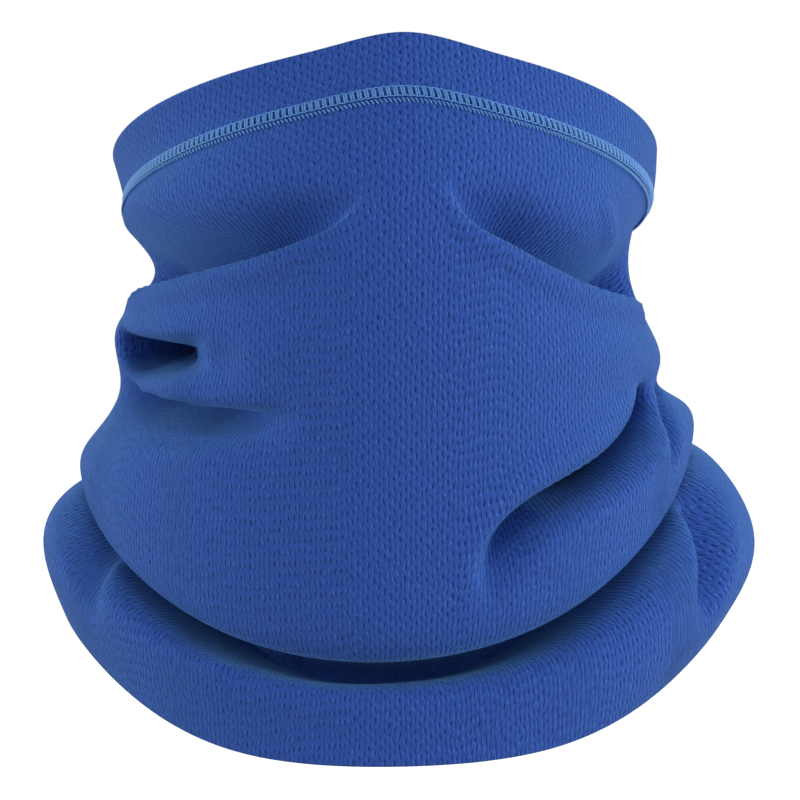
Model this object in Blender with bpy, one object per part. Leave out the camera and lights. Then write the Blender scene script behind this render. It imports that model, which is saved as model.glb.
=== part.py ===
"""Knitted cycling face mask: a cloth tube over nose and cheeks, bunched on the neck, spread on the shoulders.

The cloth is one surface with two coordinates. "turn" is the angle round the neck, 0 at the nose, positive to
the wearer's left (+X). "row" counts the cross sections of the table SECTIONS, from the band's top edge to the hem.
+Z is up, the face looks along -Y, and the origin lies on the head's axis at the seam's height beside the cheeks.
"""

import math
from collections import namedtuple

import bpy
import numpy as np

# Driving sizes, in metres.
TUBE_HEIGHT = 0.198  # front of the hem up to the seam under the nose bridge
BAND_HEIGHT = 0.016  # seam up to the band's folded top edge
HALF_WIDTH = 0.113  # head's axis out to the widest point of the shoulder flare
FRONT_REACH = 0.105  # head's axis forward to the cloth over the mouth
BACK_REACH = 0.098  # head's axis back to the hem
CLOTH_WALL = 0.0012
BAND_WALL = 0.0022  # the band is the same cloth, folded double
SEAM_GAP = 0.0008  # between the band's raw edge and the tube's
LADDER_WIDTH = 0.0036
CHAIN_WIDTH = 0.0014
STITCH_WALL = 0.0006
STITCH_LIFT = 0.0003  # clearance between the thread rows and the cloth under them
ROW_GAP = 0.0006  # between the ladder row and the chain row
NOSE_PEAK = 0.0040  # how far the nose bridge lifts the top edge
NOSE_PEAK_TURN = 13.0  # degrees either side
NOSE_CENTRE_TURN = 1.0  # degrees
ORIGIN_HEIGHT = 0.88  # share of TUBE_HEIGHT: the seam beside the cheeks

# How finely the cloth is faceted.
COLUMNS = 66
FRONT_DENSITY = 0.45  # 0 spaces the columns evenly, more gathers them at the front
STRIPS = (2, 3, 4, 4, 4, 3, 3, 1, 2, 2, 2, 2)  # rows of faces under each section, under the first below the threads
BAND_STRIPS = 2  # and in the band, above the threads
FACET_REACH = 0.032  # the steepest side that these facets can follow, as a share of TUBE_HEIGHT

# Cross sections from the seam down. Heights are shares of TUBE_HEIGHT above the front of the hem, reaches are
# shares of FRONT_REACH, HALF_WIDTH (left and right) and BACK_REACH. Between these four compass points, square
# pushes the corners out (a share of the reach) and dip lowers the two front ones (a share of TUBE_HEIGHT).
Section = namedtuple(
    "Section",
    "name front_z left_z right_z back_z dip front left right back square",
)
SECTIONS = (
    Section("seam", 0.980, 0.838, 0.845, 0.830, 0.010, 0.890, 0.762, 0.693, 0.840, 0.02),
    Section("nose", 0.850, 0.800, 0.803, 0.755, 0.000, 1.000, 0.742, 0.627, 0.800, 0.01),
    Section("waist", 0.690, 0.738, 0.728, 0.675, 0.000, 1.020, 0.655, 0.595, 0.730, 0.00),
    Section("cheek", 0.603, 0.655, 0.620, 0.605, 0.000, 1.015, 0.772, 0.700, 0.800, 0.00),
    Section("jaw", 0.515, 0.560, 0.570, 0.535, 0.000, 1.005, 0.757, 0.690, 0.730, 0.00),
    Section("chin", 0.378, 0.475, 0.535, 0.468, 0.010, 1.000, 0.865, 0.790, 0.820, 0.00),
    Section("lobe", 0.240, 0.440, 0.507, 0.415, 0.020, 0.995, 0.873, 0.800, 0.760, 0.00),
    Section("lip", 0.155, 0.427, 0.486, 0.362, 0.022, 0.930, 0.869, 0.790, 0.800, 0.00),
    Section("roof", 0.153, 0.420, 0.477, 0.343, 0.028, 0.700, 0.862, 0.780, 0.790, -0.04),
    Section("tuck", 0.104, 0.412, 0.466, 0.324, 0.055, 0.600, 0.858, 0.768, 0.765, -0.07),
    Section("shoulder", 0.110, 0.392, 0.446, 0.282, 0.035, 0.885, 0.930, 0.870, 0.850, 0.00),
    Section("flare", 0.048, 0.325, 0.335, 0.225, 0.025, 0.955, 0.998, 0.990, 0.930, -0.01),
    Section("hem", 0.000, 0.220, 0.240, 0.150, 0.035, 0.975, 0.945, 0.938, 1.000, -0.025),
)
# The band's top edge, over the seam: shares of the same reaches.
TOP_EDGE = Section("top_edge", 0, 0, 0, 0, 0.005, 0.840, 0.798, 0.713, 0.850, 0.03)

# Folds are lines on the cloth with a hollow along them. turn is in degrees and height a share of TUBE_HEIGHT.
# depth and rim are shares of FRONT_REACH, reach and lip of TUBE_HEIGHT. "over" is the side to the left of the
# line's run, "under" the side to its right. rim lifts the cloth beside the hollow, and lip carries it over the
# hollow. fade gives the share of the line over which the fold dies away at its start and at its end.
# push turns the hollow's direction away from the head's axis, in degrees. rows are the sections it lies between.
Fold = namedtuple(
    "Fold",
    "name rows depth over under line rim_over rim_under lip_over lip_under fade push",
    defaults=(0.0, 0.0, 0.0, 0.0, (0.25, 0.25), 0.0),
)
FOLDS = (
    Fold(
        "left_cheek_crease", (0.9, 5.0), 0.110, 0.060, 0.014,
        (
            (-78, 0.705), (-64, 0.706), (-52, 0.712), (-37, 0.725), (-26, 0.739), (-19.5, 0.755),
            (-14.5, 0.775), (-10, 0.801), (-6.5, 0.838), (-4, 0.872),
        ),
        rim_under=0.026, lip_under=0.014, fade=(0.20, 0.30),
    ),
    Fold(
        "right_cheek_crease", (0.9, 5.0), 0.110, 0.014, 0.060,
        (
            (66, 0.686), (54, 0.690), (43, 0.697), (33, 0.712), (24, 0.738), (17, 0.768),
            (12, 0.800), (9, 0.840), (7, 0.880),
        ),
        rim_over=0.026, lip_over=0.014, fade=(0.15, 0.30),
    ),
    Fold(
        "right_cheek_ridge", (1.3, 4.0), -0.015, 0.020, 0.020,
        ((40, 0.850), (45, 0.800), (52, 0.750)),
        fade=(0.4, 0.4),
    ),
    Fold(
        "left_pocket", (2.8, 5.4), 0.270, 0.021, 0.034,
        ((-69, 0.630), (-60, 0.624), (-51, 0.618), (-42, 0.614), (-33, 0.612)),
        rim_over=0.025, rim_under=0.030, lip_over=0.008, fade=(0.30, 0.32), push=-30.0,
    ),
    Fold(
        "left_dimple", (3.5, 5.5), 0.025, 0.030, 0.035,
        ((-42, 0.588), (-32, 0.597), (-24, 0.612)),
        fade=(0.4, 0.4),
    ),
    Fold(
        "left_dent", (4.3, 7.5), 0.125, 0.016, 0.050,
        (
            (-70, 0.572), (-58, 0.557), (-49, 0.545), (-41, 0.535), (-32, 0.526), (-23, 0.517),
            (-14, 0.508),
        ),
        rim_over=0.026, rim_under=0.020, lip_over=0.018, fade=(0.32, 0.42),
    ),
    Fold(
        "right_pocket", (4.6, 8.2), 0.180, 0.050, 0.022,
        (
            (60, 0.578), (54, 0.542), (46, 0.494), (38, 0.456), (30, 0.426), (22, 0.388),
            (16, 0.332), (14.5, 0.270), (17, 0.215),
        ),
        rim_over=0.020, rim_under=0.022, lip_under=0.020, fade=(0.25, 0.45), push=5.0,
    ),
    Fold(
        "right_slit", (4.6, 8.2), 0.110, 0.030, 0.020,
        ((58, 0.572), (51, 0.528), (44, 0.488), (37, 0.453), (30, 0.422), (23, 0.392)),
        rim_over=0.015, fade=(0.28, 0.40), push=40.0,
    ),
    Fold(
        "right_groove", (4.8, 8.2), 0.060, 0.016, 0.016,
        ((72, 0.575), (67, 0.545), (62, 0.500), (59, 0.450), (55, 0.400)),
        fade=(0.20, 0.55), push=20.0,
    ),
    Fold(
        "left_flare_groove", (9.6, 13.5), 0.095, 0.030, 0.022,
        ((-82, 0.395), (-75, 0.370), (-69, 0.335), (-64, 0.289), (-60, 0.240), (-56, 0.180)),
        rim_over=0.015, fade=(0.40, 0.50),
    ),
    Fold(
        "right_flare_groove", (9.6, 13.5), 0.095, 0.020, 0.026,
        ((76, 0.420), (72, 0.385), (68, 0.340), (64, 0.288), (60, 0.229), (56, 0.170)),
        rim_over=0.015, rim_under=0.010, fade=(0.40, 0.50),
    ),
    Fold(
        "web", (9.3, 11.9), -0.140, 0.028, 0.024,
        ((-40, 0.220), (-35, 0.193), (-30, 0.165), (-26, 0.138)),
        fade=(0.25, 0.35),
    ),
)


def cubic_rows(values, at):
    """Reads a table's columns between its rows along natural cubic splines."""
    count = len(values)
    system = np.zeros((count, count))
    target = np.zeros_like(values)
    system[0, 0] = system[-1, -1] = 1.0
    for k in range(1, count - 1):
        system[k, k - 1 : k + 2] = (1.0, 4.0, 1.0)
        target[k] = 6.0 * (values[k + 1] - 2.0 * values[k] + values[k - 1])
    bend = np.linalg.solve(system, target)
    low = np.clip(np.floor(at).astype(int), 0, count - 2)
    up = (at - low)[:, None]
    down = 1.0 - up
    return (
        down * values[low]
        + up * values[low + 1]
        + ((down**3 - down) * bend[low] + (up**3 - up) * bend[low + 1]) / 6.0
    )


def section_values():
    """The sections in metres: heights and reaches at front, left, right and back, and the corner share."""
    rows = [TOP_EDGE._replace(**{
        key: getattr(SECTIONS[0], key) + BAND_HEIGHT / TUBE_HEIGHT
        for key in ("front_z", "left_z", "right_z", "back_z")
    })]
    rows += SECTIONS
    table = np.array([row[1:] for row in rows], float)
    table[:, 0:4] = (table[:, 0:4] - ORIGIN_HEIGHT) * TUBE_HEIGHT
    table[:, 4] *= TUBE_HEIGHT
    table[:, 5:9] *= (FRONT_REACH, HALF_WIDTH, HALF_WIDTH, BACK_REACH)
    return table


def round_the_neck(front, left, right, back, turn):
    """The smooth closed curve of the first two harmonics that has these values at the four compass points."""
    middle = (front + back + left + right) / 4.0
    return (
        middle
        + (front - back) / 2.0 * np.cos(turn)
        + (right - left) / 2.0 * np.sin(turn)
        + (front + back - left - right) / 4.0 * np.cos(2.0 * turn)
    )


def bare_drape(rows, turns):
    """Points of the cloth without its folds, for a grid of row and turn values."""
    table = cubic_rows(section_values(), rows.ravel()).reshape(*rows.shape, 10)
    corner = (1.0 - np.cos(4.0 * turns)) / 2.0
    height = round_the_neck(*np.moveaxis(table[..., 0:4], -1, 0), turns)
    height -= table[..., 4] * corner * (1.0 + np.cos(turns)) / 2.0
    reach = round_the_neck(*np.moveaxis(table[..., 5:9], -1, 0), turns)
    reach *= 1.0 + table[..., 9] * corner
    off_nose = (np.degrees(turns) - NOSE_CENTRE_TURN) / NOSE_PEAK_TURN
    height += NOSE_PEAK * np.exp(-(off_nose**2)) * np.exp(-((rows / 1.6) ** 2))
    return np.stack([reach * np.sin(turns), -reach * np.cos(turns), height], axis=-1)


def smooth_step(value):
    value = np.clip(value, 0.0, 1.0)
    return value * value * (3.0 - 2.0 * value)


def bell(distance, reach):
    return np.exp(-((distance / reach) ** 2))


def fold_line(fold):
    """The fold's line as points (metres round the chart, metres up), drawn smoothly through its own points."""
    own = np.array(fold.line, float)
    at = np.linspace(0.0, len(own) - 1.0, 6 * (len(own) - 1) + 1)
    smooth = cubic_rows(own, at)
    return np.stack(
        [
            np.radians(smooth[:, 0]) * FRONT_REACH,
            (smooth[:, 1] - ORIGIN_HEIGHT) * TUBE_HEIGHT,
        ],
        axis=-1,
    )


def beside_line(points, line):
    """For each chart point: signed distance to the line (left is positive), share along it, left normal."""
    starts, steps = line[:-1], np.diff(line, axis=0)
    lengths = np.linalg.norm(steps, axis=1)
    best = np.full(points.shape[:-1], np.inf)
    side = np.zeros_like(best)
    along = np.zeros_like(best)
    normal = np.zeros_like(points)
    total = lengths.sum()
    travelled = 0.0
    for start, step, length in zip(starts, steps, lengths):
        offset = points - start
        share = np.clip(offset @ step / length**2, 0.0, 1.0)
        gap = offset - share[..., None] * step
        distance = np.linalg.norm(gap, axis=-1)
        left = np.array([-step[1], step[0]]) / length
        nearer = distance < best
        best = np.where(nearer, distance, best)
        side = np.where(nearer, np.where(offset @ left >= 0.0, 1.0, -1.0), side)
        along = np.where(nearer, (travelled + share * length) / total, along)
        normal = np.where(nearer[..., None], left, normal)
        travelled += length
    return best * side, along, normal


def folded(points, rows, turns):
    """The bare drape with every fold of the table pressed into it."""
    chart = np.stack([turns * FRONT_REACH, points[..., 2]], axis=-1)
    moved = points.copy()
    inward = np.stack([-np.sin(turns), np.cos(turns)], axis=-1)
    around = np.stack([np.cos(turns), np.sin(turns)], axis=-1)
    for fold in FOLDS:
        distance, along, normal = beside_line(chart, fold_line(fold))
        fade_in, fade_out = (max(share, 1e-3) for share in fold.fade)
        strength = smooth_step(along / fade_in) * smooth_step((1.0 - along) / fade_out)
        first, last = fold.rows
        strength *= smooth_step((rows - first) * 3.0) * smooth_step((last - rows) * 3.0)
        over = max(fold.over, FACET_REACH) * TUBE_HEIGHT
        under = max(fold.under, FACET_REACH) * TUBE_HEIGHT
        hollow = bell(distance, np.where(distance >= 0.0, over, under))
        rim_over = bell(distance - 1.3 * over, 0.9 * over)
        rim_under = bell(distance + 1.3 * under, 0.9 * under)
        push = (
            fold.depth * hollow - fold.rim_over * rim_over - fold.rim_under * rim_under
        ) * FRONT_REACH * strength
        bearing = math.radians(fold.push)
        direction = inward * math.cos(bearing) + around * math.sin(bearing)
        moved[..., :2] += push[..., None] * direction
        slide = (fold.lip_under * rim_under - fold.lip_over * rim_over) * TUBE_HEIGHT * strength
        moved[..., :2] += (slide * normal[..., 0])[..., None] * around
        moved[..., 2] += slide * normal[..., 1]
    return moved


def cloth(rows, turns):
    """Points in metres of the folded cloth's middle surface, for grids of row and turn values."""
    return folded(bare_drape(rows, turns), rows, turns)


def outward(points):
    """Unit normals of a grid of points that closes on itself across, facing away from the head."""
    across = np.roll(points, -1, axis=1) - np.roll(points, 1, axis=1)
    down = np.gradient(points, axis=0)
    normal = np.cross(down, across)
    return normal / np.maximum(np.linalg.norm(normal, axis=-1, keepdims=True), 1e-12)


def column_turns():
    """Angles of the columns round the neck, closer together at the face."""
    even = np.linspace(-math.pi, math.pi, COLUMNS, endpoint=False)
    return even - FRONT_DENSITY * np.sin(even)


def material(name, colour, roughness, sheen=0.0):
    made = bpy.data.materials.new(name)
    made.use_nodes = True
    shader = made.node_tree.nodes["Principled BSDF"]
    shader.inputs["Base Color"].default_value = (*colour, 1.0)
    shader.inputs["Roughness"].default_value = roughness
    shader.inputs["Metallic"].default_value = 0.0
    shader.inputs["Sheen Weight"].default_value = sheen
    return made


def triangles(rows, turns, points):
    """Splits each cell of the closed grid along the diagonal that lies nearer to the cloth's middle surface."""
    corner = np.arange(points[..., 0].size).reshape(points.shape[:2])
    beside = np.roll(corner, -1, axis=1)
    a, b, c, d = corner[:-1], corner[1:], beside[1:], beside[:-1]
    flat = points.reshape(-1, 3)
    step = np.mod(np.roll(turns, -1, axis=1) - turns, 2.0 * math.pi)
    middle = cloth((rows[:-1] + rows[1:]) / 2.0, (turns + step / 2.0)[:-1])
    falling = np.linalg.norm((flat[a] + flat[c]) / 2.0 - middle, axis=-1)
    rising = np.linalg.norm((flat[b] + flat[d]) / 2.0 - middle, axis=-1)
    along_ac = np.stack([a, b, c, a, c, d], axis=-1)
    along_bd = np.stack([a, b, d, b, c, d], axis=-1)
    chosen = np.where((falling <= rising)[..., None], along_ac, along_bd)
    return chosen.reshape(-1, 3)


def ring_sheet(name, rows, wall, finish, stand_off=0.0):
    """One object: the cloth over a grid of row values, a column for each turn, with an even wall to both sides.

    stand_off lifts the sheet off the cloth's middle surface.
    """
    turns = np.broadcast_to(column_turns(), rows.shape)
    points = cloth(rows, turns)
    faces = triangles(rows, turns, points)
    points = points + outward(points) * stand_off
    mesh = bpy.data.meshes.new(name)
    mesh.from_pydata(points.reshape(-1, 3).tolist(), [], faces.tolist())
    mesh.materials.append(finish)
    mesh.shade_smooth()
    made = bpy.data.objects.new(name, mesh)
    bpy.context.scene.collection.objects.link(made)
    thick = made.modifiers.new("wall", "SOLIDIFY")
    thick.thickness = wall
    thick.offset = 0.0
    thick.use_even_offset = False
    return made


def seam_rows(distances):
    """Row values for each column at these distances below the seam, or above it if negative, over the cloth."""
    fine = np.linspace(0.0, 2.0, 81)
    rows, turns = np.meshgrid(fine, column_turns(), indexing="ij")
    steps = np.linalg.norm(np.diff(bare_drape(rows, turns), axis=0), axis=-1)
    lengths = np.vstack([np.zeros((1, COLUMNS)), np.cumsum(steps, axis=0)])
    lengths -= lengths[40]
    return np.stack([np.interp(distances, length, fine) for length in lengths.T], axis=1)


CHAIN_TOP = LADDER_WIDTH / 2 + ROW_GAP
CHAIN_BOTTOM = CHAIN_TOP + CHAIN_WIDTH


def build_tube(finish):
    threads = seam_rows([SEAM_GAP / 2, LADDER_WIDTH / 2, CHAIN_TOP, CHAIN_BOTTOM])
    shares = np.arange(1, STRIPS[0] + 1)[:, None] / STRIPS[0]
    under_threads = threads[-1] + shares * (2.0 - threads[-1])
    below = [2.0 + k + (i + 1) / count for k, count in enumerate(STRIPS[1:]) for i in range(count)]
    rows = np.vstack([threads, under_threads, np.repeat(np.array(below)[:, None], COLUMNS, axis=1)])
    return ring_sheet("knit_tube", rows, CLOTH_WALL, finish)


def build_band(finish):
    threads = seam_rows([-LADDER_WIDTH / 2, -SEAM_GAP / 2])
    shares = np.arange(BAND_STRIPS)[:, None] / BAND_STRIPS
    return ring_sheet("face_band", np.vstack([shares * threads[0], threads]), BAND_WALL, finish)


def build_thread_row(name, places, finish):
    """A flat ring of stitches that lies on the cloth between the first and last place below the seam."""
    return ring_sheet(name, seam_rows(places), STITCH_WALL, finish, BAND_WALL / 2 + STITCH_LIFT + STITCH_WALL / 2)


def clear_scene():
    for obj in list(bpy.data.objects):
        bpy.data.objects.remove(obj)


def main():
    clear_scene()
    knit = material("royal_blue_knit", (0.030, 0.078, 0.300), 0.75, 0.4)
    band = material("royal_blue_band", (0.030, 0.078, 0.300), 0.75, 0.4)
    thread = material("light_blue_thread", (0.060, 0.230, 0.560), 0.5)
    build_tube(knit)
    build_band(band)
    build_thread_row("seam_ladder", [-LADDER_WIDTH / 2, 0.0, LADDER_WIDTH / 2], thread)
    build_thread_row("seam_chain", [CHAIN_TOP, CHAIN_BOTTOM], thread)


main()
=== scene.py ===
"""A knitted cycling face mask in its worn form: the draped cloth, its flat seam, the studio and the camera.

The cloth is one surface with two coordinates. "turn" is the angle round the neck in radians, 0 at the nose and
positive to the wearer's left (+X). "row" counts the cross sections, 0 at the band's top edge, 1 at the seam and 13 at
the hem. Lengths are metres, +Z is up and the face looks along -Y.
"""

import logging
import math
from dataclasses import dataclass
from enum import Enum

import bpy
import numpy as np
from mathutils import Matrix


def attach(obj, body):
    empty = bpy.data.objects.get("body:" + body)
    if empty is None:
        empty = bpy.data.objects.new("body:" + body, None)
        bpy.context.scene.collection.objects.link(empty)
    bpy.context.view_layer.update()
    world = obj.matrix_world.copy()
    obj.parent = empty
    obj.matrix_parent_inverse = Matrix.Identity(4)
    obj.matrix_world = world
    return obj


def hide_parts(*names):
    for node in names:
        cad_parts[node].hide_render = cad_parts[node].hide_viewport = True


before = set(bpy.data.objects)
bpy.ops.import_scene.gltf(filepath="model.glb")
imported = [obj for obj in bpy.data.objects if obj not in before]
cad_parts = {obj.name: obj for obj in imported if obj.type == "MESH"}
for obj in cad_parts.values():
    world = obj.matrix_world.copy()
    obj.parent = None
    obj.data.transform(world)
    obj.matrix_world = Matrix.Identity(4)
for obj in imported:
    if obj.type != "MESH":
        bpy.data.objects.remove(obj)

log = logging.getLogger("face_mask")
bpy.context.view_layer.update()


class Slot(Enum):
    """The record's material slots."""

    KNIT = "royal_blue_knit"
    BAND = "royal_blue_band"
    THREAD = "light_blue_thread"


@dataclass(frozen=True)
class Section:
    """A cross section. Heights are shares of the tube's height, reaches shares of the front, half width and back."""

    name: str
    front_z: float
    left_z: float
    right_z: float
    back_z: float
    dip: float
    front: float
    left: float
    right: float
    back: float
    square: float


@dataclass(frozen=True)
class Fold:
    """A line on the cloth with a hollow along it. See Drape.folded for what each size does."""

    name: str
    rows: tuple[float, float]
    depth: float
    over: float
    under: float
    line: tuple[tuple[float, float], ...]
    rim_over: float = 0.0
    rim_under: float = 0.0
    lip_over: float = 0.0
    lip_under: float = 0.0
    fade: tuple[float, float] = (0.25, 0.25)
    push: float = 0.0
    steep: float = 2.0


@dataclass(frozen=True)
class Sizes:
    """Driving sizes of the mask, in metres and degrees."""

    tube_height: float = 0.198
    band_height: float = 0.016
    half_width: float = 0.113
    front_reach: float = 0.105
    back_reach: float = 0.098
    cloth_wall: float = 0.0012
    band_wall: float = 0.0022
    seam_gap: float = 0.0008
    ladder_width: float = 0.0036
    chain_width: float = 0.0014
    stitch_wall: float = 0.0006
    stitch_lift: float = 0.0003
    row_gap: float = 0.0006
    nose_peak: float = 0.0040
    nose_peak_turn: float = 13.0
    nose_centre_turn: float = 1.0
    origin_height: float = 0.88
    front_density: float = 0.45


TOP_EDGE = Section("top_edge", 0, 0, 0, 0, 0.005, 0.840, 0.798, 0.713, 0.850, 0.03)
SECTIONS = (
    Section("seam", 0.980, 0.838, 0.845, 0.830, 0.010, 0.890, 0.762, 0.693, 0.840, 0.02),
    Section("nose", 0.850, 0.800, 0.803, 0.755, 0.000, 1.000, 0.742, 0.627, 0.800, 0.01),
    Section("waist", 0.690, 0.738, 0.728, 0.675, 0.000, 1.020, 0.655, 0.595, 0.730, 0.00),
    Section("cheek", 0.603, 0.655, 0.620, 0.605, 0.000, 1.015, 0.772, 0.700, 0.800, 0.00),
    Section("jaw", 0.515, 0.560, 0.570, 0.535, 0.000, 1.005, 0.757, 0.690, 0.730, 0.00),
    Section("chin", 0.378, 0.475, 0.535, 0.468, 0.010, 1.000, 0.865, 0.790, 0.820, 0.00),
    Section("lobe", 0.240, 0.440, 0.507, 0.415, 0.020, 0.995, 0.873, 0.800, 0.760, 0.00),
    Section("lip", 0.155, 0.427, 0.486, 0.362, 0.022, 0.930, 0.869, 0.790, 0.800, 0.00),
    Section("roof", 0.153, 0.420, 0.477, 0.343, 0.028, 0.700, 0.862, 0.780, 0.790, -0.04),
    Section("tuck", 0.104, 0.412, 0.466, 0.324, 0.055, 0.600, 0.858, 0.768, 0.765, -0.07),
    Section("shoulder", 0.110, 0.392, 0.446, 0.282, 0.035, 0.885, 0.930, 0.870, 0.850, 0.00),
    Section("flare", 0.048, 0.325, 0.335, 0.225, 0.025, 0.955, 0.998, 0.990, 0.930, -0.01),
    Section("hem", 0.000, 0.220, 0.240, 0.150, 0.035, 0.975, 0.945, 0.938, 1.000, -0.025),
)
FOLDS = (
    Fold(
        "left_cheek_crease", (0.9, 5.0), 0.190, 0.060, 0.014,
        (
            (-78, 0.705), (-64, 0.706), (-52, 0.712), (-37, 0.725), (-26, 0.739), (-19.5, 0.755),
            (-14.5, 0.775), (-10, 0.801), (-6.5, 0.838), (-4, 0.872),
        ),
        rim_under=0.034, lip_under=0.022, fade=(0.20, 0.30),
    ),
    Fold(
        "right_cheek_crease", (0.9, 5.0), 0.190, 0.014, 0.060,
        (
            (66, 0.686), (54, 0.690), (43, 0.697), (33, 0.712), (24, 0.738), (17, 0.768),
            (12, 0.800), (9, 0.840), (7, 0.880),
        ),
        rim_over=0.034, lip_over=0.022, fade=(0.15, 0.30),
    ),
    Fold(
        "right_cheek_ridge", (1.3, 4.0), -0.015, 0.020, 0.020,
        ((40, 0.850), (45, 0.800), (52, 0.750)),
        fade=(0.4, 0.4),
    ),
    Fold(
        "left_pocket", (2.8, 5.4), 0.380, 0.021, 0.034,
        ((-69, 0.630), (-60, 0.624), (-51, 0.618), (-42, 0.614), (-33, 0.612)),
        rim_over=0.025, rim_under=0.030, lip_over=0.008, fade=(0.30, 0.32), push=-30.0, steep=3.5,
    ),
    Fold(
        "left_dimple", (3.5, 5.5), 0.025, 0.030, 0.035,
        ((-42, 0.588), (-32, 0.597), (-24, 0.612)),
        fade=(0.4, 0.4),
    ),
    Fold(
        "left_dent", (4.3, 7.5), 0.200, 0.016, 0.050,
        ((-70, 0.572), (-58, 0.557), (-49, 0.545), (-41, 0.535), (-32, 0.526), (-23, 0.517), (-14, 0.508)),
        rim_over=0.026, rim_under=0.020, lip_over=0.018, fade=(0.32, 0.42),
    ),
    Fold(
        "right_pocket", (4.6, 8.2), 0.265, 0.044, 0.022,
        (
            (60, 0.578), (54, 0.542), (46, 0.494), (38, 0.456), (30, 0.426), (22, 0.388),
            (16, 0.332), (14.5, 0.270), (17, 0.215),
        ),
        rim_over=0.035, rim_under=0.032, lip_under=0.026, fade=(0.25, 0.45), push=5.0,
    ),
    Fold(
        "right_slit", (4.6, 8.2), 0.420, 0.030, 0.020,
        ((58, 0.572), (51, 0.528), (44, 0.488), (37, 0.453), (30, 0.422), (23, 0.392)),
        rim_over=0.015, fade=(0.28, 0.40), push=40.0,
    ),
    Fold(
        "right_groove", (4.8, 8.2), 0.060, 0.016, 0.016,
        ((72, 0.575), (67, 0.545), (62, 0.500), (59, 0.450), (55, 0.400)),
        fade=(0.20, 0.55), push=20.0,
    ),
    Fold(
        "left_flare_groove", (9.6, 13.5), 0.130, 0.030, 0.022,
        ((-82, 0.395), (-75, 0.370), (-69, 0.335), (-64, 0.289), (-60, 0.240), (-56, 0.180)),
        rim_over=0.015, fade=(0.40, 0.50),
    ),
    Fold(
        "right_flare_groove", (9.6, 13.5), 0.130, 0.020, 0.026,
        ((76, 0.420), (72, 0.385), (68, 0.340), (64, 0.288), (60, 0.229), (56, 0.170)),
        rim_over=0.015, rim_under=0.010, fade=(0.40, 0.50),
    ),
    Fold(
        "web", (9.3, 11.9), -0.140, 0.028, 0.024,
        ((-40, 0.220), (-35, 0.193), (-30, 0.165), (-26, 0.138)),
        fade=(0.25, 0.35),
    ),
)


def smooth_step(value: np.ndarray) -> np.ndarray:
    """Rises from 0 to 1 with flat ends.

    Args:
        value: numbers of any shape; below 0 and above 1 they are clipped.

    Returns:
        The eased numbers, in the same shape.
    """
    value = np.clip(value, 0.0, 1.0)
    return value * value * (3.0 - 2.0 * value)


def bell(distance: np.ndarray, reach: np.ndarray | float, steep: float = 2.0) -> np.ndarray:
    """The bell curve that is 1 at distance 0 and 1/e at the reach.

    Args:
        distance: distances in metres.
        reach: the distance at which the bell has fallen to 1/e.
        steep: the power; above 2 the top is flatter and the sides are steeper.

    Returns:
        The bell's height at each distance.
    """
    return np.exp(-(np.abs(distance / reach) ** steep))


def cubic_rows(values: np.ndarray, at: np.ndarray) -> np.ndarray:
    """Reads a table's columns between its rows along natural cubic splines.

    Args:
        values: the table, one row for each whole number.
        at: a flat array of places between 0 and the last row.

    Returns:
        A row of values for each place.
    """
    count = len(values)
    system = np.zeros((count, count))
    target = np.zeros_like(values)
    system[0, 0] = system[-1, -1] = 1.0
    for k in range(1, count - 1):
        system[k, k - 1 : k + 2] = (1.0, 4.0, 1.0)
        target[k] = 6.0 * (values[k + 1] - 2.0 * values[k] + values[k - 1])
    bend = np.linalg.solve(system, target)
    low = np.clip(np.floor(at).astype(int), 0, count - 2)
    up = (at - low)[:, None]
    down = 1.0 - up
    curve = ((down**3 - down) * bend[low] + (up**3 - up) * bend[low + 1]) / 6.0
    return down * values[low] + up * values[low + 1] + curve


def round_the_neck(
    front: np.ndarray, left: np.ndarray, right: np.ndarray, back: np.ndarray, turn: np.ndarray
) -> np.ndarray:
    """The closed curve of the first two harmonics through four compass values.

    Args:
        front: value at turn 0.
        left: value at turn -90 degrees.
        right: value at turn 90 degrees.
        back: value at turn 180 degrees.
        turn: the turns to read, in radians.

    Returns:
        mean + (front-back)/2 cos t + (right-left)/2 sin t + (front+back-left-right)/4 cos 2t.
    """
    middle = (front + back + left + right) / 4.0
    swing = (front - back) / 2.0 * np.cos(turn) + (right - left) / 2.0 * np.sin(turn)
    return middle + swing + (front + back - left - right) / 4.0 * np.cos(2.0 * turn)


def unit(vectors: np.ndarray) -> np.ndarray:
    """Scales vectors to length 1.

    Args:
        vectors: an array whose last axis is x, y, z.

    Returns:
        The unit vectors.
    """
    return vectors / np.maximum(np.linalg.norm(vectors, axis=-1, keepdims=True), 1e-12)


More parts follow.
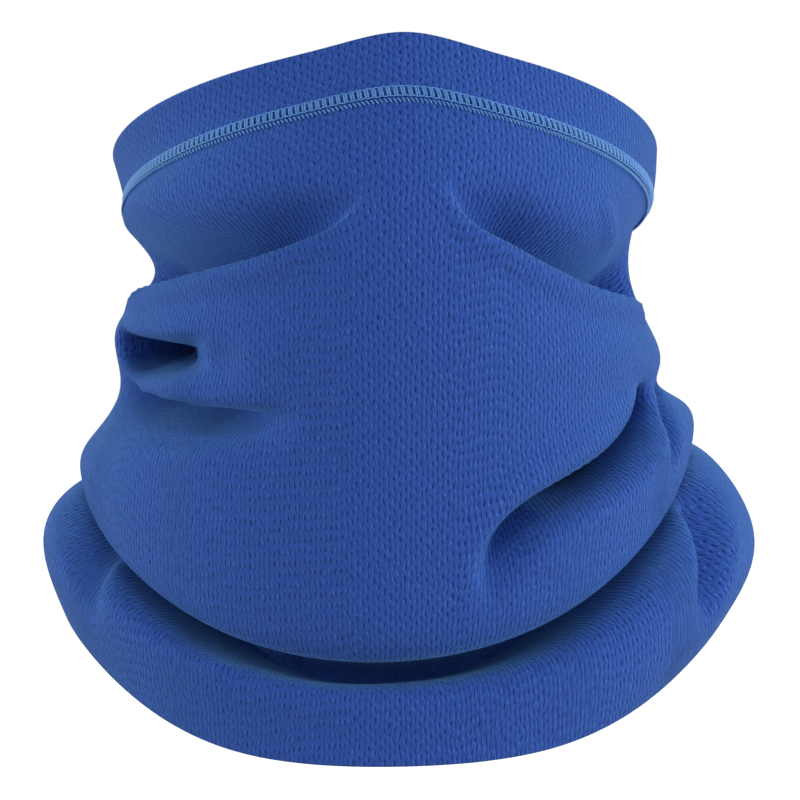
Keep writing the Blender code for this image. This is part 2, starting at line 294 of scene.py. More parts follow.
@dataclass(frozen=True)
class Drape:
    """The cloth's middle surface: sections lofted round the neck, with folds pressed into it."""

    sizes: Sizes
    sections: tuple[Section, ...]
    top_edge: Section
    folds: tuple[Fold, ...]

    def table(self) -> np.ndarray:
        """The sections in metres.

        Returns:
            A row for each section from the top edge down: four heights, dip, four reaches, square.
        """
        s = self.sizes
        rows = [
            (x.front_z, x.left_z, x.right_z, x.back_z, x.dip, x.front, x.left, x.right, x.back, x.square)
            for x in (self.top_edge, *self.sections)
        ]
        table = np.array(rows, float)
        table[0, 0:4] = table[1, 0:4] + s.band_height / s.tube_height
        table[:, 0:4] = (table[:, 0:4] - s.origin_height) * s.tube_height
        table[:, 4] *= s.tube_height
        table[:, 5:9] *= (s.front_reach, s.half_width, s.half_width, s.back_reach)
        return table

    def bare(self, rows: np.ndarray, turns: np.ndarray) -> np.ndarray:
        """Points of the cloth without its folds: x = r sin t, y = -r cos t, z = h.

        Args:
            rows: grid of row values.
            turns: grid of turns.

        Returns:
            The grid of points.
        """
        s = self.sizes
        table = cubic_rows(self.table(), rows.ravel()).reshape(*rows.shape, 10)
        corner = (1.0 - np.cos(4.0 * turns)) / 2.0
        height = round_the_neck(*np.moveaxis(table[..., 0:4], -1, 0), turns)
        height -= table[..., 4] * corner * (1.0 + np.cos(turns)) / 2.0
        reach = round_the_neck(*np.moveaxis(table[..., 5:9], -1, 0), turns)
        reach *= 1.0 + table[..., 9] * corner
        off_nose = (np.degrees(turns) - s.nose_centre_turn) / s.nose_peak_turn
        height += s.nose_peak * np.exp(-(off_nose**2)) * np.exp(-((rows / 1.6) ** 2))
        return np.stack([reach * np.sin(turns), -reach * np.cos(turns), height], axis=-1)

    def chart_line(self, fold: Fold) -> np.ndarray:
        """A fold's line as points (metres round the chart, metres up), smooth through its own points.

        Args:
            fold: the fold.

        Returns:
            The points of the line.
        """
        own = np.array(fold.line, float)
        smooth = cubic_rows(own, np.linspace(0.0, len(own) - 1.0, 6 * (len(own) - 1) + 1))
        height = (smooth[:, 1] - self.sizes.origin_height) * self.sizes.tube_height
        return np.stack([np.radians(smooth[:, 0]) * self.sizes.front_reach, height], axis=-1)

    @staticmethod
    def beside(points: np.ndarray, line: np.ndarray) -> tuple[np.ndarray, np.ndarray, np.ndarray]:
        """Where chart points lie beside a line.

        Args:
            points: chart points.
            line: the line's points.

        Returns:
            Signed distance (left side positive), the share along the line, and the line's left normal.
        """
        starts, steps = line[:-1], np.diff(line, axis=0)
        lengths = np.linalg.norm(steps, axis=1)
        best = np.full(points.shape[:-1], np.inf)
        side, along, normal = np.zeros_like(best), np.zeros_like(best), np.zeros_like(points)
        travelled = 0.0
        for start, step, length in zip(starts, steps, lengths):
            offset = points - start
            share = np.clip(offset @ step / length**2, 0.0, 1.0)
            distance = np.linalg.norm(offset - share[..., None] * step, axis=-1)
            left = np.array([-step[1], step[0]]) / length
            nearer = distance < best
            best = np.where(nearer, distance, best)
            side = np.where(nearer, np.where(offset @ left >= 0.0, 1.0, -1.0), side)
            along = np.where(nearer, (travelled + share * length) / lengths.sum(), along)
            normal = np.where(nearer[..., None], left, normal)
            travelled += length
        return best * side, along, normal

    def folded(self, points: np.ndarray, rows: np.ndarray, turns: np.ndarray) -> np.ndarray:
        """The bare drape with every fold pressed into it.

        At distance d from a fold's line the cloth goes inward by depth * bell(d), with reach over or under by side.
        Bells of the rims, 1.3 reaches away, lift it again, and the lips slide it along the line's normal.

        Args:
            points: grid of bare points.
            rows: their row values.
            turns: their turns.

        Returns:
            The grid of folded points.
        """
        s = self.sizes
        chart = np.stack([turns * s.front_reach, points[..., 2]], axis=-1)
        moved = points.copy()
        inward = np.stack([-np.sin(turns), np.cos(turns)], axis=-1)
        around = np.stack([np.cos(turns), np.sin(turns)], axis=-1)
        for fold in self.folds:
            distance, along, normal = self.beside(chart, self.chart_line(fold))
            strength = smooth_step(along / fold.fade[0]) * smooth_step((1.0 - along) / fold.fade[1])
            strength *= smooth_step((rows - fold.rows[0]) * 3.0) * smooth_step((fold.rows[1] - rows) * 3.0)
            over, under = fold.over * s.tube_height, fold.under * s.tube_height
            hollow = bell(distance, np.where(distance >= 0.0, over, under), fold.steep)
            rim_over = bell(distance - 1.3 * over, 0.9 * over)
            rim_under = bell(distance + 1.3 * under, 0.9 * under)
            push = fold.depth * hollow - fold.rim_over * rim_over - fold.rim_under * rim_under
            push = push * s.front_reach * strength
            bearing = math.radians(fold.push)
            moved[..., :2] += push[..., None] * (inward * math.cos(bearing) + around * math.sin(bearing))
            slide = (fold.lip_under * rim_under - fold.lip_over * rim_over) * s.tube_height * strength
            moved[..., :2] += (slide * normal[..., 0])[..., None] * around
            moved[..., 2] += slide * normal[..., 1]
        return moved

    def cloth(self, rows: np.ndarray, turns: np.ndarray) -> np.ndarray:
        """Points of the folded cloth's middle surface.

        Args:
            rows: grid of row values.
            turns: grid of turns.

        Returns:
            The grid of points.
        """
        return self.folded(self.bare(rows, turns), rows, turns)

    def columns(self, count: int) -> np.ndarray:
        """Turns of the columns round the neck, closer together at the face.

        Args:
            count: how many columns.

        Returns:
            The turns in radians, from -pi up to but not including pi.
        """
        even = np.linspace(-math.pi, math.pi, count, endpoint=False)
        return even - self.sizes.front_density * np.sin(even)

    def seam_rows(self, distances: np.ndarray, turns: np.ndarray) -> np.ndarray:
        """Row values of places at these distances below the seam, or above it if negative, over the cloth.

        Args:
            distances: distances in metres.
            turns: the columns' turns.

        Returns:
            A grid of row values, a row for each distance and a column for each turn.
        """
        fine = np.linspace(0.0, 2.0, 81)
        rows, grid = np.meshgrid(fine, turns, indexing="ij")
        steps = np.linalg.norm(np.diff(self.bare(rows, grid), axis=0), axis=-1)
        lengths = np.vstack([np.zeros((1, len(turns))), np.cumsum(steps, axis=0)])
        lengths -= lengths[40]
        return np.stack([np.interp(distances, length, fine) for length in lengths.T], axis=1)


def outward(points: np.ndarray) -> np.ndarray:
    """Unit normals of a grid that closes on itself across, facing away from the head.

    Args:
        points: grid of points.

    Returns:
        The grid of normals: down the cloth crossed with round it.
    """
    across = np.roll(points, -1, axis=1) - np.roll(points, 1, axis=1)
    return unit(np.cross(np.gradient(points, axis=0), across))


def add_mesh(
    name: str, points: np.ndarray, faces: np.ndarray, material: bpy.types.Material, cells: np.ndarray | None = None
) -> bpy.types.Object:
    """Makes a smooth mesh object at the origin.

    Args:
        name: the piece's name.
        points: vertices, one a row.
        faces: quads as vertex numbers.
        material: its material.
        cells: the UV of each face corner, in knit cells, if it has one.

    Returns:
        The object.
    """
    mesh = bpy.data.meshes.new(name)
    mesh.vertices.add(len(points))
    mesh.vertices.foreach_set("co", points.ravel())
    mesh.loops.add(faces.size)
    mesh.loops.foreach_set("vertex_index", faces.ravel())
    mesh.polygons.add(len(faces))
    mesh.polygons.foreach_set("loop_start", np.arange(0, faces.size, 4))
    mesh.update(calc_edges=True)
    if cells is not None:
        mesh.uv_layers.new(name="cells").data.foreach_set("uv", cells.ravel())
    mesh.materials.append(material)
    mesh.shade_smooth()
    mesh.validate()
    made = bpy.data.objects.new(name, mesh)
    bpy.context.scene.collection.objects.link(made)
    return made


@dataclass(frozen=True)
class ClothShell:
    """A ring of cloth with a wall: outer side, rounded lower edge, inner side and rounded upper edge."""

    drape: Drape
    name: str
    wall: float
    wales: int
    stretch: tuple[float, float]
    course: float
    inner_step: int = 3
    edge_facets: int = 4

    def build(self, rows: np.ndarray, turns: np.ndarray, material: bpy.types.Material) -> bpy.types.Object:
        """Makes the closed shell.

        The side surfaces lie half a wall off the middle surface along its normals, and half circles of that radius
        join them. The UV counts knit cells: u = wales * t / 2 pi + stretch * sin t, v = cloth length / course.

        Args:
            rows: grid of row values, a row for each ring of the outer side.
            turns: the columns' turns.
            material: its material.

        Returns:
            The object.
        """
        grid = np.broadcast_to(turns, rows.shape)
        middle = self.drape.cloth(rows, grid)
        normal = outward(middle)
        half = self.wall / 2.0
        steps = np.linalg.norm(np.diff(middle, axis=0), axis=-1)
        lengths = np.vstack([np.zeros((1, len(turns))), np.cumsum(steps, axis=0)])
        inner = list(range(0, len(rows) - 1, self.inner_step)) + [len(rows) - 1]
        parts = [middle + normal * half]
        places = [lengths]
        swing = np.linspace(math.pi / 2, -math.pi / 2, self.edge_facets + 2)[1:-1, None, None]
        for end, side in ((-1, 1.0), (0, -1.0)):
            if end == 0:
                parts.append((middle - normal * half)[inner[::-1]])
                places.append(lengths[inner[::-1]])
            along = unit(middle[end] - middle[end - 1 if end else 1])[None]
            parts.append(middle[end][None] + half * (normal[end][None] * np.sin(swing) * side + along * np.cos(swing)))
            places.append(np.repeat(lengths[end][None], self.edge_facets, axis=0))
        points, length = np.concatenate(parts), np.concatenate(places)
        row_count, column_count = points.shape[:2]
        corner = np.arange(row_count * column_count).reshape(row_count, column_count)
        below, beside = np.roll(corner, -1, axis=0), np.roll(corner, -1, axis=1)
        faces = np.stack([corner, below, np.roll(below, -1, axis=1), beside], axis=-1).reshape(-1, 4)
        return add_mesh(self.name, points.reshape(-1, 3), faces, material, self.cells(length, turns))

    def cells(self, length: np.ndarray, turns: np.ndarray) -> np.ndarray:
        """UV of each corner of each face, in knit cells.

        Args:
            length: grid of cloth lengths from the upper edge, all round the cross section.
            turns: the columns' turns.

        Returns:
            Corner UVs in the order of the faces.
        """
        closed = np.append(turns, turns[0] + 2.0 * math.pi)
        tension = self.stretch[0] + (self.stretch[1] - self.stretch[0]) * smooth_step(length / 0.06)
        u = self.wales * closed / (2.0 * math.pi) + np.column_stack([tension, tension[:, 0]]) * np.sin(closed)
        v = np.column_stack([length, length[:, 0]]) / self.course
        uv = np.stack([u, v], axis=-1)
        under = np.roll(uv, -1, axis=0)
        return np.stack([uv[:, :-1], under[:, :-1], under[:, 1:], uv[:, 1:]], axis=2).reshape(-1, 2)


@dataclass(frozen=True)
class Threads:
    """The flat seam: slanting pairs of strands above, short single strands below, and threads that run along."""

    drape: Drape
    pitch: float = 0.0021
    strand: float = 0.00030
    ladder_slant: float = 0.0007
    chain_pitch: float = 0.0013
    chain_slant: float = 0.0010

    def frames(self, distance: float, count: int) -> tuple[np.ndarray, np.ndarray, np.ndarray, np.ndarray]:
        """Places evenly spaced along the seam, with their local directions.

        Args:
            distance: how far below the seam they lie, in metres.
            count: how many.

        Returns:
            Points on the band's outer face, and the directions outward, down the cloth and along the seam.
        """
        turns = np.linspace(-math.pi, math.pi, 1441)
        spread = np.array([distance - 0.0005, distance, distance + 0.0005])
        rows = self.drape.seam_rows(spread, turns)
        ring = self.drape.cloth(rows, np.broadcast_to(turns, rows.shape))
        length = np.append(0.0, np.cumsum(np.linalg.norm(np.diff(ring[1], axis=0), axis=-1)))
        at = (np.arange(count) + 0.5) / count * length[-1]
        upper, here, lower = (np.stack([np.interp(at, length, line[:, k]) for k in range(3)], axis=-1) for line in ring)
        along = unit(np.roll(here, -1, axis=0) - np.roll(here, 1, axis=0))
        down = unit(lower - upper)
        out = unit(np.cross(down, along))
        return here + out * (self.drape.sizes.band_wall / 2.0), out, down, along

    def strands(
        self,
        name: str,
        distance: float,
        pitch: float,
        length: float,
        slant: float,
        pair: float,
        arch: float,
        material: bpy.types.Material,
    ) -> bpy.types.Object:
        """A row of short arched strands across the seam, joined in one mesh.

        Strand k runs from -length/2 to length/2 down the cloth, slides along the seam by slant from end to end, and
        rises by arch * (1 - s^4) at share s from its middle. Its round section has the strand's radius.

        Args:
            name: the piece's name.
            distance: the row's middle, below the seam.
            pitch: the spacing along the seam.
            length: how long each strand is, down the cloth.
            slant: how far its lower end lies further along.
            pair: spacing of the two strands of a pair, or 0 for single strands.
            arch: how high its middle stands.
            material: its material.

        Returns:
            The object.
        """
        ring = self.frames(distance, 8)[0]
        turns = np.linspace(-math.pi, math.pi, 721)
        rows = self.drape.seam_rows(np.array([distance]), turns)
        around = self.drape.cloth(rows, turns[None])[0]
        count = int(round(np.linalg.norm(np.diff(around, axis=0), axis=-1).sum() / pitch))
        log.info("%s: %d stitches, first near %s", name, count, np.round(ring[0], 4))
        here, out, down, along = self.frames(distance, count)
        share = np.linspace(-1.0, 1.0, 9)
        section = np.linspace(0.0, 2.0 * math.pi, 6, endpoint=False)
        radius = self.strand * np.sqrt(np.maximum(1.0 - np.abs(share) ** 6, 0.05))
        pieces = []
        for offset in (-pair / 2.0, pair / 2.0) if pair else (0.0,):
            spine_down = share * length / 2.0
            spine_along = share * slant / 2.0 + offset
            spine_out = arch * (1.0 - share**4) - 0.0001
            spine = here[:, None] + spine_down[None, :, None] * down[:, None]
            spine = spine + spine_along[None, :, None] * along[:, None]
            spine = spine + spine_out[None, :, None] * out[:, None]
            sideways = np.cos(section)[None, None, :, None] * along[:, None, None]
            rim = sideways + np.sin(section)[None, None, :, None] * out[:, None, None]
            pieces.append(spine[:, :, None] + radius[None, :, None, None] * rim)
        points = np.concatenate(pieces)
        total, steps, sides = points.shape[:3]
        corner = np.arange(total * steps * sides).reshape(total, steps, sides)
        beside = np.roll(corner, -1, axis=2)
        faces = np.stack([corner[:, :-1], beside[:, :-1], beside[:, 1:], corner[:, 1:]], axis=-1).reshape(-1, 4)
        uv = self.strand_uv(total, steps, sides)
        return add_mesh(name, points.reshape(-1, 3), faces, material, uv)

    @staticmethod
    def strand_uv(total: int, steps: int, sides: int) -> np.ndarray:
        """UV of strand faces: u once round the strand, v from end to end.

        Args:
            total: how many strands.
            steps: rings along a strand.
            sides: points round a ring.

        Returns:
            Corner UVs in the order of the faces.
        """
        u, v = np.arange(sides) / sides, np.arange(steps - 1) / (steps - 1)
        uu, vv = np.meshgrid(u, v)
        quad = np.stack([
            np.stack([uu, vv], -1),
            np.stack([uu + 1.0 / sides, vv], -1),
            np.stack([uu + 1.0 / sides, vv + 1.0 / (steps - 1)], -1),
            np.stack([uu, vv + 1.0 / (steps - 1)], -1),
        ], axis=2)
        return np.broadcast_to(quad, (total, *quad.shape)).reshape(-1, 2)

    def ring_thread(
        self,
        name: str,
        distances: tuple[float, ...],
        radius: float,
        lift: float,
        wave: float,
        waves: int,
        material: bpy.types.Material,
    ) -> bpy.types.Object:
        """Threads that run all the way round, side by side.

        A thread at distance d follows the seam at d + wave * cos(waves * a), lifted off the cloth, with a
        round section.

        Args:
            name: the piece's name.
            distances: one thread at each distance below the seam.
            radius: the thread's radius.
            lift: how far its centre lies off the band's face.
            wave: how far it weaves up and down.
            waves: how many times it does so in one round.
            material: its material.

        Returns:
            The object.
        """
        count, sides = 1400, 6
        section = np.linspace(0.0, 2.0 * math.pi, sides, endpoint=False)
        phase = np.arange(count) / count * 2.0 * math.pi
        rings = []
        for distance in distances:
            here, out, down, _ = self.frames(distance, count)
            centre = here + out * lift + down * (wave * np.cos(waves * phase))[:, None]
            rim = np.cos(section)[None, :, None] * down[:, None] + np.sin(section)[None, :, None] * out[:, None]
            rings.append(centre[:, None] + radius * rim)
        points = np.stack(rings)
        corner = np.arange(points[..., 0].size).reshape(points.shape[:3])
        ahead, beside = np.roll(corner, -1, axis=1), np.roll(corner, -1, axis=2)
        faces = np.stack([corner, ahead, np.roll(ahead, -1, axis=2), beside], axis=-1).reshape(-1, 4)
        uv = np.zeros((faces.size, 2))
        uv[:, 1] = np.repeat(np.tile(np.repeat(np.arange(count) / 12.0, sides), len(distances)), 4)
        return add_mesh(name, points.reshape(-1, 3), faces, material, uv)


class NodeSketch:
    """Adds nodes to a tree and joins them."""

    def __init__(self, tree: bpy.types.NodeTree) -> None:
        """Keeps the tree.

        Args:
            tree: the node tree to add to.
        """
        self.tree = tree

    def add(self, kind: str, inputs: dict | None = None, **settings: object) -> bpy.types.Node:
        """Adds a node.

        Args:
            kind: its type.
            inputs: values or sockets for its inputs, by name or number.
            **settings: its properties.

        Returns:
            The node.
        """
        node = self.tree.nodes.new(kind)
        for key, value in settings.items():
            setattr(node, key, value)
        for key, value in (inputs or {}).items():
            self.feed(node.inputs[key], value)
        return node

    def feed(self, socket: bpy.types.NodeSocket, value: object) -> None:
        """Joins a socket to an input, or sets the input's value.

        Args:
            socket: the input.
            value: a socket or a value.
        """
        if isinstance(value, bpy.types.NodeSocket):
            self.tree.links.new(value, socket)
        else:
            socket.default_value = value

    def noise(self, inputs: dict) -> bpy.types.Node:
        """A flat Noise Texture node.

        Args:
            inputs: values or sockets for its inputs, by name.

        Returns:
            The node.
        """
        return self.add("ShaderNodeTexNoise", inputs, noise_dimensions="2D")

    def math(self, operation: str, *values: object) -> bpy.types.NodeSocket:
        """A Math node.

        Args:
            operation: its operation.
            *values: its inputs, sockets or numbers.

        Returns:
            Its output.
        """
        return self.add("ShaderNodeMath", dict(enumerate(values)), operation=operation).outputs[0]

    def blend(self, factor: object, first: object, second: object) -> bpy.types.NodeSocket:
        """A colour Mix node, whose sockets share names with its other kinds.

        Args:
            factor: the share of the second colour.
            first: the first colour.
            second: the second colour.

        Returns:
            The mixed colour.
        """
        return self.add("ShaderNodeMix", {0: factor, 6: first, 7: second}, data_type="RGBA").outputs[2]


@dataclass(frozen=True)
class Cloths:
    """Materials of the knit and the thread."""

    slit_half_width: float = 0.085
    slit_half_height: float = 0.30
    yarn_dark: tuple[float, ...] = (0.015, 0.052, 0.260, 1.0)
    yarn_light: tuple[float, ...] = (0.027, 0.086, 0.390, 1.0)
    # Painted highlight: the light colour of the flecks where the yarn beside each slit catches the light.
    fleck_highlight: tuple[float, ...] = (0.070, 0.185, 0.600, 1.0)
    slit: tuple[float, ...] = (0.002, 0.013, 0.110, 1.0)
    # Thread colours: painted shade and painted highlight along the strands' twist.
    thread_twist_shade: tuple[float, ...] = (0.045, 0.200, 0.530, 1.0)
    thread_twist_highlight: tuple[float, ...] = (0.120, 0.350, 0.730, 1.0)

    def knit_group(self) -> bpy.types.NodeTree:
        """The mesh knit's pattern: rows of upright slits, each row half a cell along from the next, with painted
        highlight flecks beside them.

        Returns:
            A group that turns cell coordinates into slit, painted highlight fleck, relief and streak masks.
        """
        group = bpy.data.node_groups.new("mesh_knit", "ShaderNodeTree")
        group.interface.new_socket("Cells", in_out="INPUT", socket_type="NodeSocketVector")
        for name in ("Slit", "Fleck Highlight", "Relief", "Streak"):
            group.interface.new_socket(name, in_out="OUTPUT", socket_type="NodeSocketFloat")
        sketch = NodeSketch(group)
        cells = sketch.add("NodeGroupInput").outputs[0]
        wander = sketch.noise({"Vector": cells, "Scale": 0.55, "Detail": 3.0, "Roughness": 0.65}).outputs["Color"]
        shift = sketch.add("ShaderNodeVectorMath", {0: wander, 1: (0.5, 0.5, 0.5)}, operation="SUBTRACT").outputs[0]
        shift = sketch.add("ShaderNodeVectorMath", {0: shift, "Scale": 0.60}, operation="SCALE").outputs[0]
        moved = sketch.add("ShaderNodeVectorMath", {0: cells, 1: shift}, operation="ADD").outputs[0]
        parts = sketch.add("ShaderNodeSeparateXYZ", {0: moved})
        u, v = parts.outputs[0], parts.outputs[1]
        slit = self.spots(sketch, u, v, self.slit_half_width, self.slit_half_height, 1.3, 0.5)
        # Painted highlights: small light ovals just beside each slit, where the yarn catches the light.
        beside = sketch.math("ADD", u, 2.1 * self.slit_half_width), sketch.math("ADD", v, -0.07)
        fleck_highlight = self.spots(sketch, *beside, 0.07, 0.22, 1.5, 0.1)
        stretched = sketch.add("ShaderNodeVectorMath", {0: cells, 1: (6.0, 1.6, 1.0)}, operation="MULTIPLY").outputs[0]
        streak = sketch.noise({"Vector": stretched, "Scale": 1.0, "Detail": 2.0, "Roughness": 0.6}).outputs["Fac"]
        streak = sketch.add("ShaderNodeMapRange", {"Value": streak, "From Min": 0.22, "From Max": 0.78}).outputs[0]
        wales = sketch.math("SINE", sketch.math("MULTIPLY_ADD", u, 4.0 * math.pi, -math.pi / 2.0))
        relief = sketch.math("MULTIPLY_ADD", wales, 0.22, sketch.math("MULTIPLY", streak, 0.9))
        relief = sketch.math("SUBTRACT", relief, sketch.math("MULTIPLY", slit, 0.8))
        uneven = sketch.noise({"Vector": cells, "Scale": 1.7, "Detail": 1.0}).outputs["Fac"]
        uneven = sketch.add("ShaderNodeMapRange", {"Value": uneven, "From Min": 0.30, "From Max": 0.62}).outputs[0]
        fleck_highlight = sketch.math("MULTIPLY", fleck_highlight, uneven)
        slit = sketch.math("MULTIPLY", slit, sketch.math("MULTIPLY_ADD", uneven, -0.35, 1.0))
        sketch.add("NodeGroupOutput", {"Slit": slit, "Fleck Highlight": fleck_highlight, "Relief": relief, "Streak": streak})
        return group

    @staticmethod
    def spots(
        sketch: NodeSketch, u: object, v: object, half_width: float, half_height: float, outer: float, inner: float
    ) -> bpy.types.NodeSocket:
        """Upright ovals on the half-offset lattice of the cells.

        Args:
            sketch: the tree's sketch.
            u: the cell coordinate across.
            v: the cell coordinate up.
            half_width: an oval's half width in cells.
            half_height: its half height in cells.
            outer: where an oval ends, as a share of its half sizes.
            inner: where it is full.

        Returns:
            The mask, 1 inside the ovals.
        """
        nearest = []
        for offset in (0.0, 0.5):
            across = sketch.math("DIVIDE", sketch.math("PINGPONG", sketch.math("ADD", u, offset), 0.5), half_width)
            up = sketch.math("DIVIDE", sketch.math("PINGPONG", sketch.math("ADD", v, offset), 0.5), half_height)
            squares = sketch.math("ADD", sketch.math("MULTIPLY", across, across), sketch.math("MULTIPLY", up, up))
            nearest.append(sketch.math("SQRT", squares))
        distance = sketch.math("MINIMUM", *nearest)
        return sketch.add(
            "ShaderNodeMapRange",
            {"Value": distance, "From Min": outer, "From Max": inner, "To Min": 0.0, "To Max": 1.0},
            interpolation_type="SMOOTHSTEP",
        ).outputs[0]

    def knit(self, slot: Slot, group: bpy.types.NodeTree) -> bpy.types.Material:
        """The blue mesh knit.

        Args:
            slot: the record's slot that it is for.
            group: the pattern group.

        Returns:
            The material.
        """
        material, sketch, shader = self.blank(slot)
        cells = sketch.add("ShaderNodeUVMap", uv_map="cells").outputs[0]
        pattern = sketch.add("ShaderNodeGroup", {"Cells": cells}, node_tree=group)
        streaked = sketch.blend(pattern.outputs["Streak"], self.yarn_dark, self.yarn_light)
        # The painted highlight flecks lighten the yarn beside the slits.
        highlight_share = sketch.math("MULTIPLY", pattern.outputs["Fleck Highlight"], 0.55)
        highlighted = sketch.blend(highlight_share, streaked, self.fleck_highlight)
        slit_share = sketch.math("MULTIPLY", pattern.outputs["Slit"], 0.88)
        pierced = sketch.blend(slit_share, highlighted, self.slit)
        sketch.feed(shader.inputs["Base Color"], pierced)
        bump = sketch.add("ShaderNodeBump", {"Height": pattern.outputs["Relief"], "Strength": 0.7, "Distance": 0.00035})
        sketch.feed(shader.inputs["Normal"], bump.outputs[0])
        shader.inputs["Roughness"].default_value = 0.8
        shader.inputs["Sheen Weight"].default_value = 0.50
        shader.inputs["Sheen Roughness"].default_value = 0.45
        shader.inputs["Sheen Tint"].default_value = (0.20, 0.54, 1.0, 1.0)
        shader.inputs["Specular IOR Level"].default_value = 0.12
        return material

    def thread(self) -> bpy.types.Material:
        """The light blue sewing thread, with a twist in its bump and a painted highlight and shade along the twist.

        Returns:
            The material.
        """
        material, sketch, shader = self.blank(Slot.THREAD)
        cells = sketch.add("ShaderNodeUVMap", uv_map="cells").outputs[0]
        parts = sketch.add("ShaderNodeSeparateXYZ", {0: cells})
        round_it = sketch.math("MULTIPLY", parts.outputs[0], 6.2832)
        twist = sketch.math("SINE", sketch.math("ADD", sketch.math("MULTIPLY", parts.outputs[1], 44.0), round_it))
        # Painted highlight and shade: the thread's colour goes from dark to light with the twist's sine.
        painted_twist_light = sketch.blend(sketch.math("MULTIPLY_ADD", twist, 0.5, 0.5), self.thread_twist_shade, self.thread_twist_highlight)
        sketch.feed(shader.inputs["Base Color"], painted_twist_light)
        bump = sketch.add("ShaderNodeBump", {"Height": twist, "Strength": 0.5, "Distance": 0.0001})
        sketch.feed(shader.inputs["Normal"], bump.outputs[0])
        shader.inputs["Roughness"].default_value = 0.5
        shader.inputs["Sheen Weight"].default_value = 0.3
        shader.inputs["Sheen Tint"].default_value = (0.6, 0.8, 1.0, 1.0)
        return material

    @staticmethod
    def blank(slot: Slot) -> tuple[bpy.types.Material, NodeSketch, bpy.types.Node]:
        """A new material with a Principled shader.

        Args:
            slot: the record's slot that it is for.

        Returns:
            The material, its sketch and its shader.
        """
        material = bpy.data.materials.new(slot.value + "_look")
        material.use_nodes = True
        return material, NodeSketch(material.node_tree), material.node_tree.nodes["Principled BSDF"]


@dataclass(frozen=True)
class Studio:
    """The pale floor, soft lights and the camera at the photograph's angle."""

    distance: float = 1.15
    pixel: float = 0.00032
    frame_pixels: int = 800
    centre_height: float = -0.0679
    floor_drop: float = 0.30

    def build(self) -> None:
        """Adds the floor, world, lights and camera."""
        self.floor()
        self.sky()
        self.softbox("side_light_left", (-1.1, -0.12, -0.28), 0.5, 9.0)
        self.softbox("side_light_right", (1.05, -0.34, -0.14), 0.5, 9.5)
        self.softbox("top_light", (0.0, -0.90, 0.90), 0.6, 4.5)
        self.camera()

    def floor(self) -> None:
        """A wide pale floor below the mask."""
        mesh = bpy.data.meshes.new("floor")
        span = 30.0
        corners = [(x, y, -self.floor_drop) for x, y in ((-span, -span), (span, -span), (span, span), (-span, span))]
        mesh.from_pydata(corners, [], [(0, 1, 2, 3)])
        material = bpy.data.materials.new("pale_floor")
        material.use_nodes = True
        shader = material.node_tree.nodes["Principled BSDF"]
        shader.inputs["Base Color"].default_value = (0.6, 0.6, 0.6, 1.0)
        shader.inputs["Emission Color"].default_value = (1.0, 1.0, 1.0, 1.0)
        shader.inputs["Emission Strength"].default_value = 0.82
        shader.inputs["Roughness"].default_value = 0.9
        shader.inputs["Specular IOR Level"].default_value = 0.0
        mesh.materials.append(material)
        made = bpy.data.objects.new("floor", mesh)
        bpy.context.scene.collection.objects.link(made)
        made.visible_diffuse = False

    @staticmethod
    def sky() -> None:
        """White walls all round, which light the mask and stand plain behind it, under a dim ceiling."""
        world = bpy.data.worlds.new("white_room")
        world.use_nodes = True
        sketch = NodeSketch(world.node_tree)
        direction = sketch.add("ShaderNodeTexCoord").outputs["Generated"]
        upward = sketch.add("ShaderNodeSeparateXYZ", {0: direction}).outputs[2]
        height = sketch.math("ABSOLUTE", sketch.math("SUBTRACT", upward, 0.12))
        walls = sketch.add(
            "ShaderNodeMapRange",
            {"Value": height, "From Min": 0.30, "From Max": 0.55, "To Min": 1.0, "To Max": 0.15},
            interpolation_type="SMOOTHSTEP",
        ).outputs[0]
        background = world.node_tree.nodes["Background"]
        background.inputs[0].default_value = (1.0, 1.0, 1.0, 1.0)
        sketch.feed(background.inputs[1], walls)
        bpy.context.scene.world = world

    @staticmethod
    def softbox(name: str, place: tuple[float, float, float], size: float, power: float) -> None:
        """A square area light that faces the mask.

        Args:
            name: its name.
            place: where it stands.
            size: its side in metres.
            power: its power in watts.
        """
        light = bpy.data.lights.new(name, "AREA")
        light.size = size
        light.energy = power
        made = bpy.data.objects.new(name, light)
        made.location = place
        aim = -made.location
        aim.z -= 0.07
        made.rotation_euler = aim.to_track_quat("-Z", "Y").to_euler()
        bpy.context.scene.collection.objects.link(made)

    def camera(self) -> None:
        """A level camera in front of the face."""
        data = bpy.data.cameras.new("camera")
        data.sensor_width = 36.0
        data.lens = data.sensor_width * self.distance / (self.frame_pixels * self.pixel)
        made = bpy.data.objects.new("camera", data)
        made.location = (0.0, -self.distance, self.centre_height)
        made.rotation_euler = (math.pi / 2.0, 0.0, 0.0)
        bpy.context.scene.collection.objects.link(made)
        bpy.context.scene.camera = made
        bpy.context.scene.view_settings.view_transform = "Standard"


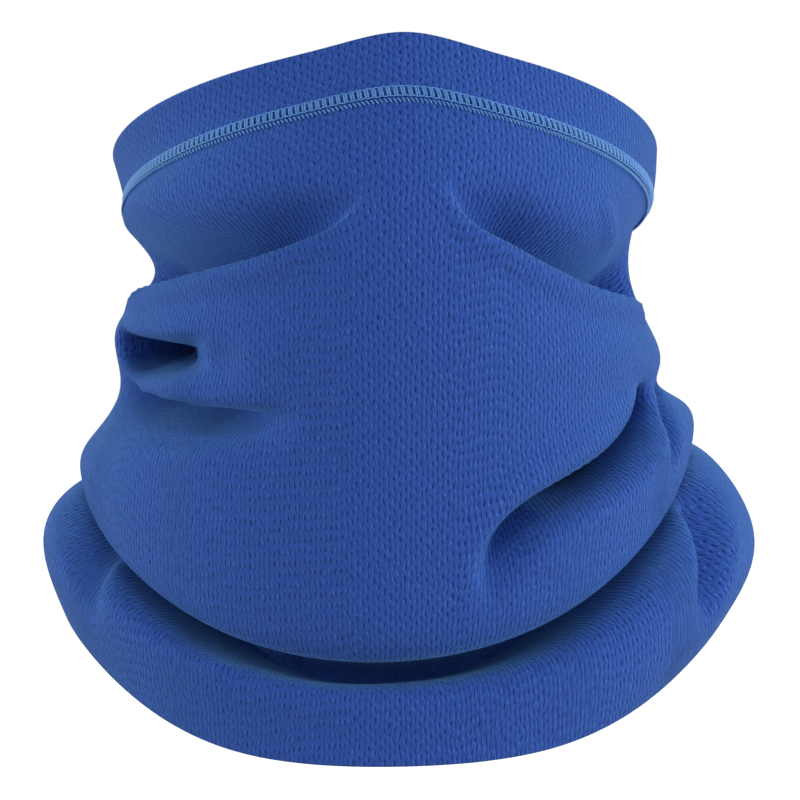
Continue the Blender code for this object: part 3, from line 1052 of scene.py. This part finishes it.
@dataclass(frozen=True)
class Mask:
    """The whole mask, built piece by piece."""

    sizes: Sizes
    column_count: int = 376
    tube_strips: tuple[int, ...] = (18, 26, 18, 18, 22, 20, 14, 8, 8, 12, 10, 8)
    band_strips: int = 22

    def drape(self) -> Drape:
        """The cloth's surface.

        Returns:
            The drape.
        """
        return Drape(self.sizes, SECTIONS, TOP_EDGE, FOLDS)

    def tube(self, drape: Drape, material: bpy.types.Material) -> bpy.types.Object:
        """The tube from the seam down to the hem.

        Args:
            drape: the cloth's surface.
            material: its material.

        Returns:
            The object.
        """
        turns = drape.columns(self.column_count)
        start = drape.seam_rows(np.array([self.sizes.seam_gap / 2.0]), turns)
        shares = np.arange(1, self.tube_strips[0] + 1)[:, None] / self.tube_strips[0]
        first = start + shares * (2.0 - start)
        below = np.array([
            2.0 + k + (i + 1) / count for k, count in enumerate(self.tube_strips[1:]) for i in range(count)
        ])
        rows = np.vstack([start, first, np.repeat(below[:, None], len(turns), axis=1)])
        shell = ClothShell(drape, "knit_tube_cloth", self.sizes.cloth_wall, 200, (-5.0, 2.4), 0.00325)
        return self.dress(shell.build(rows, turns, material), Slot.KNIT, "knit_tube")

    def band(self, drape: Drape, material: bpy.types.Material) -> bpy.types.Object:
        """The band above the seam, folded over its top edge.

        Args:
            drape: the cloth's surface.
            material: its material.

        Returns:
            The object.
        """
        turns = drape.columns(self.column_count)
        end = drape.seam_rows(np.array([-self.sizes.seam_gap / 2.0]), turns)
        rows = np.linspace(0.0, 1.0, self.band_strips + 1)[:, None] * end
        shell = ClothShell(
            drape, "face_band_cloth", self.sizes.band_wall, 152, (0.5, 0.5), 0.00262, inner_step=1, edge_facets=8
        )
        return self.dress(shell.build(rows, turns, material), Slot.BAND, "face_band")

    def seam(self, drape: Drape, material: bpy.types.Material) -> list[bpy.types.Object]:
        """The two rows of stitches and their running threads.

        Args:
            drape: the cloth's surface.
            material: the thread's material.

        Returns:
            The objects, the upper row's first.
        """
        s, threads = self.sizes, Threads(drape)
        chain = s.ladder_width / 2.0 + s.row_gap + s.chain_width / 2.0
        ladder = threads.strands(
            "ladder_stitches", 0.0, threads.pitch, 0.0031, threads.ladder_slant, 0.00070, 0.00040, material
        )
        loops = threads.strands(
            "chain_stitches", chain, threads.chain_pitch, 0.0015, threads.chain_slant, 0.0, 0.00030, material
        )
        runs = threads.ring_thread("running_threads", (-0.0016, 0.0016), 0.00018, 0.00012, 0.00012, 227, material)
        return [
            self.dress(ladder, Slot.THREAD, "seam_ladder"),
            self.dress(loops, Slot.THREAD, "seam_chain"),
            self.dress(runs, Slot.THREAD),
        ]

    @staticmethod
    def dress(piece: bpy.types.Object, slot: Slot, *nodes: str) -> bpy.types.Object:
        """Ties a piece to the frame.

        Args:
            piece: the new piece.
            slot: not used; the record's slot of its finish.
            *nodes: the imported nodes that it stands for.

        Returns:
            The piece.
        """
        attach(piece, "root")
        if nodes:
            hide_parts(*nodes)
        log.info("%s: %d faces", piece.name, len(piece.data.polygons))
        return piece


def main() -> None:
    """Builds the mask and its studio."""
    logging.basicConfig(level=logging.INFO, format="%(name)s: %(message)s")
    Studio().build()
    mask, cloths = Mask(Sizes()), Cloths()
    drape, group = mask.drape(), cloths.knit_group()
    tube = mask.tube(drape, cloths.knit(Slot.KNIT, group))
    band = mask.band(drape, cloths.knit(Slot.BAND, group))
    mask.seam(drape, cloths.thread())


if __name__ == "__main__":
    main()
